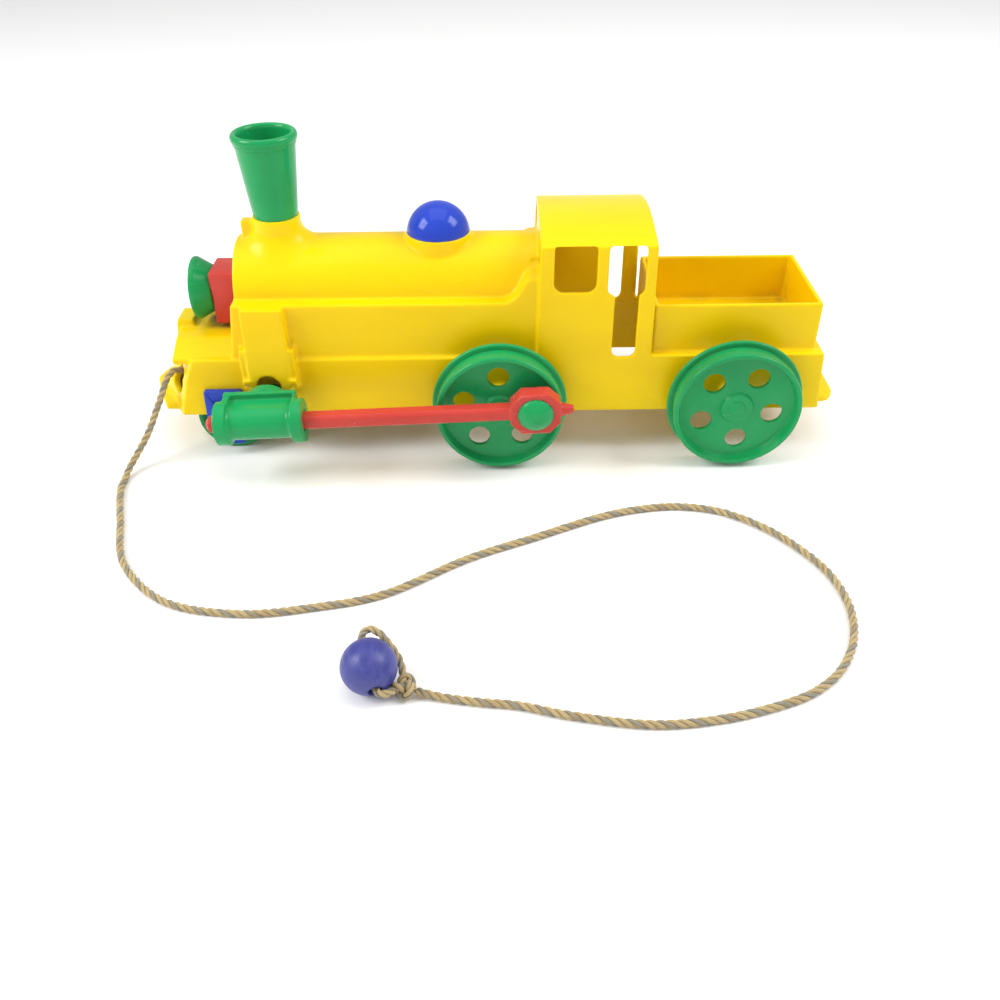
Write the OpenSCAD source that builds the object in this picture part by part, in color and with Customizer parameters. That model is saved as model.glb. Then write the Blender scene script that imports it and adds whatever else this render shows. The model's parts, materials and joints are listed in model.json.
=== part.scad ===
// Pull-along toy locomotive: a moulded body on two big wheelsets and one small
// one, with rocking cylinders, sliding rods and a pull cord with a bead.
// +X is the rear, -X the front, -Y the left side, Z is up from the floor.

/* [Body] */
// Half the width of the lower body and of the cab
body_half_w = 38.5; // [38.5:0.5:39]
// Height of the open bottom edge above the floor
skirt_z = 26; // [25.5:0.5:26.5]
// Height of the ledge that runs round the lower body
ledge_z = 61.5; // [61:0.5:62]
// Wall thickness of the moulding
wall = 2.5; // [2:0.1:2.6]
// Half the width of the panels beside the boiler
panel_half_w = 36.3; // [36:0.1:36.5]
// Height of the narrow shoulder above those panels
shoulder_z = 92.5; // [92:0.5:93]

/* [Boiler] */
// Radius of the boiler
boiler_r = 28; // [27.5:0.5:28.5]
// Height of the boiler's axis
boiler_z = 89; // [88.5:0.5:89.5]
// Position of the smokebox front
smokebox_x = -137.5; // [-138:0.5:-137]
// Position of the chimney along the boiler
chimney_x = -114; // [-115:0.5:-113]
// Outer radius of the chimney at its foot
chimney_foot_r = 12; // [11.5:0.5:12]
// Outer radius of the chimney under its rim
chimney_top_r = 15.8; // [15:0.1:16]
// Height of the chimney's top above the floor
chimney_top_z = 173.2; // [166:0.1:178]
// Position of the dome along the boiler
dome_x = -26.5; // [-30:0.5:-20]
// Radius of the dome
dome_r = 17.5; // [16:0.5:18]

/* [Cab and tender] */
// Height of the roof's edge
roof_edge_z = 124.4; // [124:0.1:125]
// Height of the roof's crown
roof_crown_z = 130.4; // [130:0.1:132]
// Half the width of the tender box
tender_half_w = 33.5; // [33:0.5:34]
// Height of the tender box's rim
tender_z = 89; // [85:1:95]

/* [Running gear] */
// Position of the driving axle
driver_x = 6; // [5.5:0.5:6.5]
// Position of the rear axle
rear_x = 137; // [135:0.5:139]
// Position of the front axle
pony_x = -150; // [-150.5:0.5:-149.5]
// Radius of the big wheels over their flanges
wheel_r = 37.5; // [37:0.5:37.5]
// Radius of the small front wheels
pony_r = 20; // [19:0.5:20]
// Radius of every axle
axle_r = 2.5; // [2:0.1:2.7]
// Radius of the circle of holes, and throw of the crank
crank_r = 20.5; // [20:0.5:21]
// Angle of the crank above the rear horizontal
crank_angle = 19.6; // [15:0.1:25]
// Distance of the rod's centre line from the middle of the toy
rod_y = 66.5; // [66.5:0.1:67]
// Position of the cylinder's pivot along the toy
pivot_x = -122; // [-122.5:0.5:-121.5]
// Height of the cylinder's pivot
pivot_z = 39; // [39:0.5:39.5]

/* [Pull cord] */
// Diameter of the cord
cord_d = 3.6; // [3:0.1:4]
// Radius of the wooden ball
ball_r = 12.5; // [12:0.5:12.5]

/* [Hidden] */

YELLOW = "gold";
GREEN = "seagreen";
RED = "indianred";
BLUE = "royalblue";
STEEL = "silver";
ROPE = "burlywood";

$fn = 64;
cut = 1;                    // how far a cutter runs past a face
fit = 0.15;                 // running clearance on a radius
inner_half_w = body_half_w - wall;

tub_front_x = -162;
tub_rear_top_x = 186;
tub_rear_low_x = 188.5;
cab_front_low_x = 26;
cab_front_top_x = 28.5;
cab_rear_low_x = 91;
cab_rear_top_x = 88.6;
tender_front_x = 90.5;
tender_rear_x = 181.7;
panel_front_top_x = -138;
panel_front_low_x = -143;
roof_rise = roof_crown_z - roof_edge_z;
roof_r = (body_half_w * body_half_w + roof_rise * roof_rise) / (2 * roof_rise);

peg_r = 2.5;
peg_heights = [76, 96];

lip_t = 4.5;                // thickness of the lips at both ends
nose_x = -199.5;
rear_lip_x = 199.5;
lip_half_w = 32;

deck_z = 67.5;
deck_half_w = 21;
stop_z = 71.5;
stop_front_x = -178.3;
stop_rear_x = -169;

collar_r = 13;
collar_z = 129.5;
seat_r = 18;
seat_z = 119.6;

// the crank pin at rest, and the slope of the rod from the pivot to it
pin_x = driver_x + crank_r * cos(crank_angle);
pin_z = wheel_r + crank_r * sin(crank_angle);
rod_tilt = atan2(pin_z - pivot_z, pin_x - pivot_x);
rod_len = norm([pin_x - pivot_x, pin_z - pivot_z]);

wheel_back_y = 47.3;
wheel_face_y = 59.9;
web_face_y = 54.9;
web_back_y = 52.4;
hub_back_y = 42.5;
hub_face_y = 56.6;
hub_r = 9.1;
hole_r = 6;
cylinder_r = 12;
cylinder_front = -25.3;     // along the rod, from the pivot
cylinder_rear = 22;
pivot_shaft_r = 4.5;
rod_w = 9;
rod_h = 8;
chest_in_y = 34;
clip_y = 31;                // inner face of the pivot's clip
clip_t = 1.3;
clip_slot_r = 3.6;
big_end_face_y = 71.5;

// Cord route, from the knot inside the nose to the knot beside the ball
CORD_ROUTE = [[-166, -17, 42], [-171, -21.5, 46], [-176, -25.5, 48.8], [-179.5, -28.3, 49.4],
    [-183, -32, 46.5], [-186.5, -36, 38.5], [-191, -41, 29], [-196, -45.5, 19], [-202, -51, 10],
    [-206, -58, 4.5], [-207, -66, 2], [-206, -78, 2],
    [-198, -104, 2], [-185, -140, 2], [-157, -168, 2], [-119, -177, 2], [-83, -173, 2], [-50, -164, 2],
    [-11, -139, 2], [25, -122, 2], [57, -107, 2], [80, -100, 2], [102, -98, 2], [124, -103, 2],
    [143, -116, 2], [158, -134, 2], [168, -154, 2], [171, -176, 2], [167, -197, 2], [157, -215, 2],
    [144, -227, 2], [128, -235, 2], [100, -243, 2], [69, -246, 2], [36, -241, 2], [13, -235, 2],
    [-3, -233, 2], [-20, -230, 2], [-32, -227, 3]];
CORD_RINGS = 80;
CORD_SIDES = 8;
ball_c = [-51.5, -221.5, ball_r + 0.1];
knot_c = [-36.5, -226, 5.2];
stopper_c = [-166, -16, 42.5];
cord_hole_c = [-178.4, -27.3, 44];
cord_hole_r = 7.6;
knot_r = 5;
ball_bore_r = 3;
ball_bore_dir = [0.29, -0.9, -0.28];
LOOP_ROUTE = [[-48, -232.5, 9], [-45, -233, 8.2], [-41, -231, 7.2], [-37, -228.5, 6.4], [-34.8, -225, 6.4],
    [-35.6, -220, 7.6], [-38.2, -215, 10.2], [-42.5, -209.5, 14.5], [-47.5, -206.3, 18.5], [-51.5, -206, 20]];

function smooth_point(pts, i, t) =
    let (a = pts[max(i - 1, 0)], b = pts[i], c = pts[i + 1], d = pts[min(i + 2, len(pts) - 1)])
    0.5 * (2 * b + (c - a) * t + (2 * a - 5 * b + 4 * c - d) * t * t + (3 * b - a - 3 * c + d) * t * t * t);

function route_point(pts, u) =
    let (s = u * (len(pts) - 1), i = min(floor(s), len(pts) - 2))
    smooth_point(pts, i, s - i);

function unit(v) = v / norm(v);

// Rings of a tube round a route; each ring stands square to the route
function tube_rings(pts, rings, sides, r) = [for (k = [0 : rings - 1])
    let (u = k / (rings - 1), e = 0.002,
        p = route_point(pts, u),
        dir = unit(route_point(pts, min(u + e, 1)) - route_point(pts, max(u - e, 0))),
        side = unit(cross([0, 0, 1], dir)),
        up = cross(dir, side))
    for (j = [0 : sides - 1])
        let (a = 360 * (j + 0.5) / sides)
        p + r * (cos(a) * side + sin(a) * up)];

module tube(pts, rings, sides, r) {
    walls = [for (k = [0 : rings - 2]) for (j = [0 : sides - 1])
        let (n = (j + 1) % sides)
        [k * sides + j, k * sides + n, (k + 1) * sides + n, (k + 1) * sides + j]];
    first = [for (j = [sides - 1 : -1 : 0]) j];
    last = [for (j = [0 : sides - 1]) (rings - 1) * sides + j];
    polyhedron(points = tube_rings(pts, rings, sides, r), faces = concat([first], walls, [last]),
        convexity = 10);
}

module both_sides() {
    children();
    mirror([0, 1, 0]) children();
}

// side = -1 is the left side of the toy, side = 1 the right
module on_side(side) {
    if (side > 0) mirror([0, 1, 0]) children();
    else children();
}

// Extrudes an outline drawn in X and Z over the width from -half_w to half_w
module across(half_w) {
    translate([0, half_w, 0]) rotate([90, 0, 0]) linear_extrude(2 * half_w) children();
}

// Extrudes an outline drawn in X and Z from y_in out to y_out on the left side
module left_slab(y_in, y_out) {
    translate([0, -y_in, 0]) rotate([90, 0, 0]) linear_extrude(y_out - y_in) children();
}

// Extrudes an outline drawn in Y and Z from x_a to x_b
module along(x_a, x_b) {
    translate([x_a, 0, 0]) rotate([90, 0, 90]) linear_extrude(x_b - x_a) children();
}

// A cylinder whose axis is parallel to Y, on the left side
module left_rod(x, z, r, y_in, y_out) {
    translate([x, -y_in, z]) rotate([90, 0, 0]) cylinder(r = r, h = y_out - y_in);
}

module block(lo, hi) {
    translate(lo) cube(hi - lo);
}

// ---- body shell ----

// The prow: slanted cheeks that narrow to the nose; inset makes the hollow
module prow(inset) {
    below = inset > 0 ? cut : 0;
    side_w = body_half_w - inset;
    waist_z = 48 - inset;
    hull() {
        along(tub_front_x - 2, tub_front_x) square_centred(2 * side_w, skirt_z - below, ledge_z - inset);
        prow_slice(waist_z, -169.5 + inset, -180.5 + 1.3 * inset, side_w, 13 - inset);
        prow_slice(ledge_z - 1 - inset, -164 + inset, -176.5 + 1.3 * inset, side_w, 13 - inset);
    }
    // below its waist the prow runs forward to the nose
    hull() {
        prow_slice(skirt_z - below, -176 + inset, -190.5 + 1.3 * inset, side_w, 16 - inset);
        prow_slice(36.5 - inset, -172.7 + inset, -189.5 + 1.3 * inset, side_w, 14 - inset);
        prow_slice(waist_z, -169.5 + inset, -180.5 + 1.3 * inset, side_w, 13 - inset);
    }
}

module prow_slice(z, crease_x, tip_x, half_w, tip_half_w) {
    translate([0, 0, z]) linear_extrude(1) polygon([[tub_front_x, -half_w], [crease_x, -half_w],
        [tip_x, -tip_half_w], [tip_x, tip_half_w], [crease_x, half_w], [tub_front_x, half_w]]);
}

module square_centred(w, z_low, z_high) {
    translate([-w / 2, z_low]) square([w, z_high - z_low]);
}

module tub_outer() {
    across(body_half_w) polygon([[tub_front_x - 1, skirt_z], [tub_rear_low_x, skirt_z],
        [tub_rear_top_x, ledge_z], [tub_front_x - 1, ledge_z]]);
    prow(0);
}

module end_lips() {
    lip_back_x = -172;
    translate([0, 0, skirt_z]) linear_extrude(lip_t) polygon([[lip_back_x, -lip_half_w],
        [nose_x + 12.8, -lip_half_w], [nose_x + 6.5, -19.5], [nose_x + 2, -8], [nose_x, -2],
        [nose_x, 2], [nose_x + 2, 8], [nose_x + 6.5, 19.5], [nose_x + 12.8, lip_half_w],
        [lip_back_x, lip_half_w]]);
    corner_r = 8;
    translate([0, 0, skirt_z]) {
        translate([tub_rear_low_x - 3, -lip_half_w, 0])
            cube([rear_lip_x - tub_rear_low_x + 3 - corner_r, 2 * lip_half_w, lip_t]);
        translate([tub_rear_low_x - 3, corner_r - lip_half_w, 0])
            cube([rear_lip_x - tub_rear_low_x + 3, 2 * (lip_half_w - corner_r), lip_t]);
        for (s = [-1, 1])
            translate([rear_lip_x - corner_r, s * (lip_half_w - corner_r), 0])
                cylinder(r = corner_r, h = lip_t);
    }
}

// Panel outline beside the boiler, with the curve that climbs to the cab
module panel_outline() {
    rise_z = shoulder_z + 14;
    polygon([[panel_front_low_x, ledge_z - 4], [panel_front_top_x, shoulder_z], [9.5, shoulder_z],
        [13, shoulder_z + 1.5], [16, shoulder_z + 4.5], [19, shoulder_z + 9.5], [21, shoulder_z + 12.8],
        [23.5, rise_z], [29, rise_z], [29, ledge_z - 4]]);
}

module boiler_tube(r, front_x, back_x) {
    translate([front_x, 0, boiler_z]) rotate([0, 90, 0]) cylinder(r = r, h = back_x - front_x, $fn = 96);
}

module cab_side_outline() {
    polygon([[cab_front_low_x, skirt_z + cut], [cab_rear_low_x, skirt_z + cut],
        [cab_rear_top_x, 140], [cab_front_top_x, 140]]);
}

// Cab cross-section: straight walls under an arched roof
module cab_arch(half_w, edge_z, crown_z) {
    intersection() {
        translate([-half_w, skirt_z]) square([2 * half_w, 120]);
        translate([0, crown_z - roof_r]) circle(r = roof_r, $fn = 256);
    }
}

module cab_outer() {
    intersection() {
        across(body_half_w) cab_side_outline();
        along(20, 100) cab_arch(body_half_w, roof_edge_z, roof_crown_z);
    }
}

// Side window and keyhole doorway, cut right through both side walls
module cab_openings() {
    win_r = 5;
    across(body_half_w + cut) {
        translate([35.5, 99 + win_r]) square([22.2, 25 - win_r]);
        translate([35.5 + win_r, 99]) square([22.2 - 2 * win_r, 10]);
        translate([35.5 + win_r, 99 + win_r]) circle(r = win_r);
        translate([57.7 - win_r, 99 + win_r]) circle(r = win_r);
        door_outline();
    }
}

module door_outline() {
    slot_r = 3.5;
    head_r = 4;
    translate([64, 97 + head_r]) square([19.4, 27 - head_r]);
    translate([64 + head_r, 97]) square([19.4 - 2 * head_r, 10]);
    translate([64 + head_r, 97 + head_r]) circle(r = head_r);
    translate([83.4 - head_r, 97 + head_r]) circle(r = head_r);
    translate([68, 60.6 + slot_r]) square([12.6, 40]);
    translate([68 + slot_r, 60.6]) square([12.6 - 2 * slot_r, 10]);
    translate([68 + slot_r, 60.6 + slot_r]) circle(r = slot_r);
    translate([80.6 - slot_r, 60.6 + slot_r]) circle(r = slot_r);
}

// Two look-out windows in the cab's front wall, above the boiler's sides
module spectacle_windows() {
    both_sides() block([cab_front_low_x - 2, -34, 108.5], [cab_front_low_x + 8, -18, 122]);
}

module tender_outer() {
    translate([tender_front_x, -tender_half_w, ledge_z - wall])
        cube([tender_rear_x - tender_front_x, 2 * tender_half_w, tender_z - ledge_z + wall]);
}

module tender_bin() {
    translate([tender_front_x + wall, -tender_half_w + wall, ledge_z + 0.5])
        cube([tender_rear_x - tender_front_x - 2 * wall, 2 * (tender_half_w - wall), tender_z]);
}

module front_deck() {
    along(-176, panel_front_low_x + 8)
        polygon([[-36, ledge_z - 4], [-36, ledge_z - 0.5], [-deck_half_w, deck_z], [deck_half_w, deck_z],
            [36, ledge_z - 0.5], [36, ledge_z - 4]]);
    intersection() {
        along(stop_front_x - 8, stop_rear_x + 4)
            polygon([[-14, ledge_z - 16], [-8, stop_z], [8, stop_z], [14, ledge_z - 16]]);
        across(30) polygon([[stop_front_x - 3, ledge_z - 16], [stop_front_x, stop_z], [stop_rear_x, stop_z],
            [stop_rear_x + 4, ledge_z - 16]]);
    }
}

// Collar under the chimney, with a hollow fillet that follows the boiler, and a lug in front
module chimney_saddle() {
    translate([chimney_x, 0, 0]) {
        translate([0, 0, boiler_z]) cylinder(r = collar_r, h = collar_z - boiler_z);
        saddle_fillet(9, 5, 28);
    }
    block([chimney_x - 19.5, -3.5, boiler_z + boiler_r - 6], [chimney_x - 8, 3.5, collar_z - 2.5]);
}

// Height of the boiler's surface over the floor, at a distance y from its top line
function boiler_top(y) = boiler_z + sqrt(boiler_r * boiler_r - y * y);

// Rings of points from inside the collar down the hollow curve and into the boiler's wall
module saddle_fillet(size, steps, sides) {
    profile = concat([[-1, size]],
        [for (k = [1 : steps])
            let (t = 0.8 * size * k * k / (steps * steps))
            [t, size - sqrt(size * size - (size - t) * (size - t))]],
        [[0.8 * size + 0.5, -1.2]]);
    rings = len(profile);
    skin = [for (q = profile) for (j = [0 : sides - 1])
        let (a = 360 * j / sides, r = collar_r + q[0])
        [r * cos(a), r * sin(a), boiler_top(r * sin(a)) + q[1]]];
    top_i = rings * sides;
    low_i = top_i + 1;
    middles = [[0, 0, boiler_z + boiler_r + size - 3], [0, 0, boiler_z + boiler_r - 12]];
    walls = [for (k = [0 : rings - 2]) for (j = [0 : sides - 1])
        let (n = (j + 1) % sides)
        each [[k * sides + j, (k + 1) * sides + n, (k + 1) * sides + j],
            [k * sides + j, k * sides + n, (k + 1) * sides + n]]];
    lids = [for (j = [0 : sides - 1])
        let (n = (j + 1) % sides, edge = (rings - 1) * sides)
        each [[j, top_i, n], [edge + j, edge + n, low_i]]];
    polyhedron(points = concat(skin, middles), faces = concat(walls, lids), convexity = 6);
}

module dome_seat() {
    translate([dome_x, 0, boiler_z]) cylinder(r = seat_r, h = seat_z - boiler_z);
}

// Valve-chest block on each side, with wings, shelves and a bearing for the pivot
module side_chest() {
    both_sides() {
        along(-132.3, -109.3) polygon([[-chest_in_y, shoulder_z], [-42, shoulder_z], [-46, 48], [-46, 45],
            [-chest_in_y, 45]]);
        block([-136.3, -43.5, 45], [-106.3, -chest_in_y, 69.5]);
        block([-136.3, -46.2, 49.5], [-131, -chest_in_y, 52.5]);
        block([-110, -46.2, 49.5], [-106.3, -chest_in_y, 52.5]);
        left_rod(pivot_x, pivot_z, 8, inner_half_w - 3, 46);
    }
}

module side_chest_cuts() {
    both_sides() {
        left_rod(pivot_x, 47.5, 7, inner_half_w - 1, 48);
        block([pivot_x - 7, -48, 44.6], [pivot_x + 7, -inner_half_w + 1, 47.5]);
        left_rod(pivot_x, pivot_z, pivot_shaft_r + fit / 2, 28, 50);
    }
}

module axle_bosses() {
    both_sides() {
        left_rod(driver_x, wheel_r, 7, inner_half_w - 4, 41.5);
        left_rod(rear_x, wheel_r, 7, inner_half_w - 4, 41.5);
    }
}

module axle_bores() {
    both_sides() {
        left_rod(driver_x, wheel_r, axle_r + fit, 20, 50);
        left_rod(rear_x, wheel_r, axle_r + fit, 20, 50);
    }
}

module shell_hollow() {
    // lower body, open underneath
    block([tub_front_x - 3, -inner_half_w, skirt_z - cut],
        [tub_rear_top_x - wall, inner_half_w, ledge_z - wall]);
    prow(wall);
    // behind the side panels
    across(panel_half_w - wall) polygon([[panel_front_low_x + wall, ledge_z - 5],
        [panel_front_top_x + wall, shoulder_z - wall], [cab_front_low_x, shoulder_z - wall],
        [cab_front_low_x, ledge_z - 5]]);
    boiler_tube(boiler_r - wall, smokebox_x + wall, cab_front_low_x);
    // cab, open behind and below
    intersection() {
        across(inner_half_w) polygon([[cab_front_low_x + wall, skirt_z - cut], [tender_front_x, skirt_z - cut],
            [tender_front_x, tender_z], [100, tender_z], [100, 140], [cab_front_top_x + wall, 140]]);
        along(20, 100) cab_arch(inner_half_w, roof_edge_z, roof_crown_z - wall);
    }
    tender_bin();
}

module cord_hole() {
    translate(cord_hole_c) rotate([0, 77, 214.5]) translate([0, 0, -8]) cylinder(r = cord_hole_r, h = 20);
}

module peg_holes() {
    // chimney, dome and lamp bracket are plugged into the shell
    translate([chimney_x, 0, boiler_z]) cylinder(r = 9, h = 60);
    translate([dome_x, 0, boiler_z]) cylinder(r = 5, h = 40);
    for (z = peg_heights) translate([smokebox_x - 8, 0, z]) rotate([0, 90, 0]) cylinder(r = peg_r, h = 14);
}

module body_shell() {
    color(YELLOW) difference() {
        union() {
            difference() {
                union() {
                    tub_outer();
                    across(panel_half_w) panel_outline();
                    boiler_tube(boiler_r, smokebox_x, 30);
                    cab_outer();
                    tender_outer();
                    front_deck();
                    chimney_saddle();
                    dome_seat();
                }
                shell_hollow();
            }
            end_lips();
            side_chest();
            axle_bosses();
        }
        cab_openings();
        spectacle_windows();
        side_chest_cuts();
        axle_bores();
        both_sides() cord_hole();
        peg_holes();
    }
}

// ---- fittings on the body ----

module chimney() {
    rim_h = 6;
    foot_t = 2;
    color(GREEN) translate([chimney_x, 0, 0]) rotate_extrude()
        polygon([[7, collar_z - 12], [9 - fit, collar_z - 12], [9 - fit, collar_z], [chimney_foot_r, collar_z],
            [chimney_top_r, chimney_top_z - rim_h], [chimney_top_r + 0.6, chimney_top_z - rim_h],
            [chimney_top_r + 0.7, chimney_top_z - 4.2], [chimney_top_r + 1.3, chimney_top_z - 3.8],
            [chimney_top_r + 1.5, chimney_top_z - 2], [chimney_top_r + 1, chimney_top_z - 0.7],
            [chimney_top_r + 0.2, chimney_top_z - 0.1], [chimney_top_r - 0.6, chimney_top_z],
            [chimney_top_r - 1.6, chimney_top_z - 0.5], [chimney_top_r - 2.2, chimney_top_z - 1.8],
            [chimney_top_r - 2.3, chimney_top_z - 4], [chimney_foot_r - foot_t, collar_z + 3],
            [7, collar_z + 1]]);
}

module dome() {
    color(BLUE) translate([dome_x, 0, seat_z]) {
        intersection() {
            translate([0, 0, -2]) sphere(r = dome_r);
            translate([-20, -20, 0]) cube([40, 40, 20]);
        }
        translate([0, 0, -12]) cylinder(r = 5 - fit, h = 13);
    }
}

// Tapered block that carries the headlamp, with two pegs into the smokebox
module lamp_bracket() {
    front_x = -154.5;
    low_z = 70;
    slope = (panel_front_top_x - panel_front_low_x) / (shoulder_z - ledge_z + 4);
    low_back_x = panel_front_low_x + slope * (low_z - ledge_z + 4);
    color(RED) {
        difference() {
            across(11.5) polygon([[front_x, low_z], [low_back_x - fit, low_z],
                [panel_front_top_x - fit, shoulder_z], [panel_front_top_x - fit, 100.6], [front_x, 100.6]]);
            translate([front_x - cut, 0, 87.5]) rotate([0, 90, 0]) cylinder(r = 5, h = 9);
        }
        for (z = peg_heights)
            translate([smokebox_x - 6, 0, z]) rotate([0, 90, 0]) cylinder(r = peg_r - fit, h = 11);
    }
}

// Flared reflector with a hollow face and a stem that plugs into the bracket
module headlamp() {
    face_x = -165.2;
    back_x = -154.5;
    color(GREEN) translate([face_x, 0, 87.5]) rotate([0, 90, 0]) rotate_extrude()
        polygon([[0, 6], [9, 4.5], [14, 1.5], [15.6, 0], [17.4, 0], [17.4, 1.6], [12.3, back_x - face_x],
            [5 - fit, back_x - face_x], [5 - fit, back_x - face_x + 7], [0, back_x - face_x + 7]]);
}

// Blue plates outside the skirt that carry the front axle below the body
module axle_plate(side) {
    color(BLUE) on_side(side) difference() {
        left_slab(body_half_w, body_half_w + 3) polygon([[-160.5, 43.5], [-139, 43.5], [-139, 26], [-143, 8.5],
            [-156, 8.5], [-161.5, 25]]);
        left_rod(pony_x, pony_r, axle_r + fit, 30, 50);
    }
}

// ---- wheels and axles ----

// Flanged wheel with a dished web, five round holes and a raised hub
module big_wheel(side, x, first_hole) {
    color(GREEN) on_side(side) difference() {
        translate([x, 0, wheel_r]) rotate([90, 0, 0]) rotate_extrude($fn = 128)
            polygon([[0, hub_back_y], [hub_r - 1.5, hub_back_y], [hub_r, web_back_y], [31, web_back_y],
                [33, wheel_back_y], [wheel_r, wheel_back_y], [wheel_r, 48.9], [36.9, 49.5], [34.2, 49.5],
                [34.2, 50.7], [35.1, 50.7], [35.1, 59.2], [34.4, wheel_face_y], [32.6, wheel_face_y],
                [31.2, web_face_y], [hub_r + 0.4, web_face_y], [hub_r - 0.6, hub_face_y], [4.6, hub_face_y],
                [4.2, hub_face_y + 0.8], [0, hub_face_y + 1]]);
        left_rod(x, wheel_r, axle_r, 40, web_face_y - 1);
        for (k = [0 : 4])
            left_rod(x + crank_r * cos(first_hole + 72 * k), wheel_r + crank_r * sin(first_hole + 72 * k),
                hole_r, wheel_back_y - 2, wheel_face_y + 2);
    }
}

module axle(x, z, half_len) {
    color(STEEL) translate([x, half_len, z]) rotate([90, 0, 0]) cylinder(r = axle_r, h = 2 * half_len);
}

// Stub that fills one wheel hole and ends just short of the rod
module crank_pin(side) {
    color(GREEN) on_side(side) {
        left_rod(pin_x, pin_z, hole_r, web_back_y, web_face_y);
        left_rod(pin_x, pin_z, 7.5, web_face_y, 57);
        left_rod(pin_x, pin_z, 5.5, 57, rod_y - rod_w / 2 - 0.4);
    }
}

module pony_wheel(side) {
    color(GREEN) on_side(side) difference() {
        translate([pony_x, 0, pony_r]) rotate([90, 0, 0]) rotate_extrude($fn = 96)
            polygon([[0, 19], [6, 19], [6, 22.5], [15, 24], [17.5, 22], [19.4, 22], [pony_r, 22.6],
                [pony_r, 31.4], [19.4, 32], [17.5, 32], [15, 29], [7, 29], [6, 33], [0, 33]]);
        left_rod(pony_x, pony_r, axle_r, 10, 40);
    }
}

// ---- rocking cylinders and sliding rods ----

// Places a shape drawn level about the pivot onto the sloping rod line
module on_rod_line(side) {
    on_side(side) translate([pivot_x, 0, pivot_z]) rotate([0, -rod_tilt, 0]) children();
}

// Hollow fillet where the barrel runs out into a collar
module collar_fillet(barrel_r, size) {
    rotate_extrude() difference() {
        square([barrel_r + size, size + 0.5]);
        translate([barrel_r + size, size + 0.5]) circle(r = size);
    }
}

module cylinder_body(side) {
    collar_front = 6.5;
    collar_rear = 6;
    barrel_r = 9.2;
    fillet_r = 2.6;
    top_h = 12.8;
    back_rear = cylinder_rear - 4.5;
    color(GREEN) on_rod_line(side) difference() {
        union() {
            translate([cylinder_front, -rod_y, 0]) rotate([0, 90, 0]) {
                cylinder(r = cylinder_r, h = collar_front);
                cylinder(r = barrel_r, h = cylinder_rear - cylinder_front);
                translate([0, 0, cylinder_rear - cylinder_front - collar_rear])
                    cylinder(r = cylinder_r, h = collar_rear);
                translate([0, 0, collar_front - 0.5]) collar_fillet(barrel_r, fillet_r);
                translate([0, 0, cylinder_rear - cylinder_front - collar_rear + 0.5]) mirror([0, 0, 1])
                    collar_fillet(barrel_r, fillet_r);
            }
            // squared back with a raised rim behind a flat shelf
            block([cylinder_front + 3, -rod_y + 8.5, 0], [back_rear, -rod_y + cylinder_r, top_h]);
            block([cylinder_front + 3, -rod_y, 0], [back_rear, -rod_y + cylinder_r, barrel_r]);
            block([cylinder_front + 3, -rod_y, 0],
                [cylinder_front + collar_front, -rod_y + cylinder_r - 1, top_h - 1]);
            block([cylinder_rear - collar_rear, -rod_y, 0],
                [back_rear, -rod_y + cylinder_r - 1, top_h - 1]);
            // pivot disc and shaft
            left_rod(0, 0, 14, 50, rod_y - cylinder_r + 1);
            left_rod(0, 0, 6.5, 46.5, 51);
            left_rod(0, 0, pivot_shaft_r, clip_y - 2.5, 51);
        }
        // way for the rod
        block([cylinder_front - cut, -rod_y - rod_w / 2 - 0.3, -rod_h / 2 - 0.3],
            [cylinder_rear + cut, -rod_y + rod_w / 2 + 0.3, rod_h / 2 + 0.3]);
        // groove for the retaining clip
        difference() {
            left_rod(0, 0, 6, clip_y - fit, clip_y + clip_t + fit);
            left_rod(0, 0, clip_slot_r, clip_y - cut, clip_y + clip_t + cut);
        }
    }
}

module pivot_clip(side) {
    color(STEEL) on_rod_line(side) difference() {
        left_rod(0, 0, 7.5, clip_y, clip_y + clip_t);
        left_rod(0, 0, clip_slot_r, clip_y - cut, clip_y + clip_t + cut);
    }
}

// Bar with a bevelled section, a big end for the crank and a domed front end
module rod(side) {
    end_l = 13.6;
    end_h = 12;
    end_cut = 6.2;
    bevel = 1.6;
    front = cylinder_front - 4.7;
    color(RED) on_rod_line(side) difference() {
        union() {
            along(front, rod_len - 8) translate([-rod_y, 0]) polygon([
                [-rod_w / 2 + bevel, -rod_h / 2], [rod_w / 2 - bevel, -rod_h / 2],
                [rod_w / 2, -rod_h / 2 + bevel], [rod_w / 2, rod_h / 2 - bevel],
                [rod_w / 2 - bevel, rod_h / 2], [-rod_w / 2 + bevel, rod_h / 2],
                [-rod_w / 2, rod_h / 2 - bevel], [-rod_w / 2, -rod_h / 2 + bevel]]);
            translate([front - 1.6, -rod_y, 0]) rotate([0, 90, 0]) cylinder(r1 = 2.4, r2 = 3.9, h = 1.6);
            translate([rod_len, 0, 0]) left_slab(rod_y - rod_w / 2, big_end_face_y) polygon([
                [-end_l, end_cut - end_h], [end_cut - end_l, -end_h], [end_l - end_cut, -end_h],
                [end_l, end_cut - end_h], [end_l, end_h - end_cut], [end_l - end_cut, end_h],
                [end_cut - end_l, end_h], [-end_l, end_h - end_cut]]);
            translate([rod_len + end_l - 1, -rod_y, 0]) rotate([0, 90, 0])
                cylinder(r1 = 4.2, r2 = 2.2, h = 8);
        }
        left_rod(rod_len, 0, 5.5, rod_y - 8, rod_y + 8);
    }
}

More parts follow.
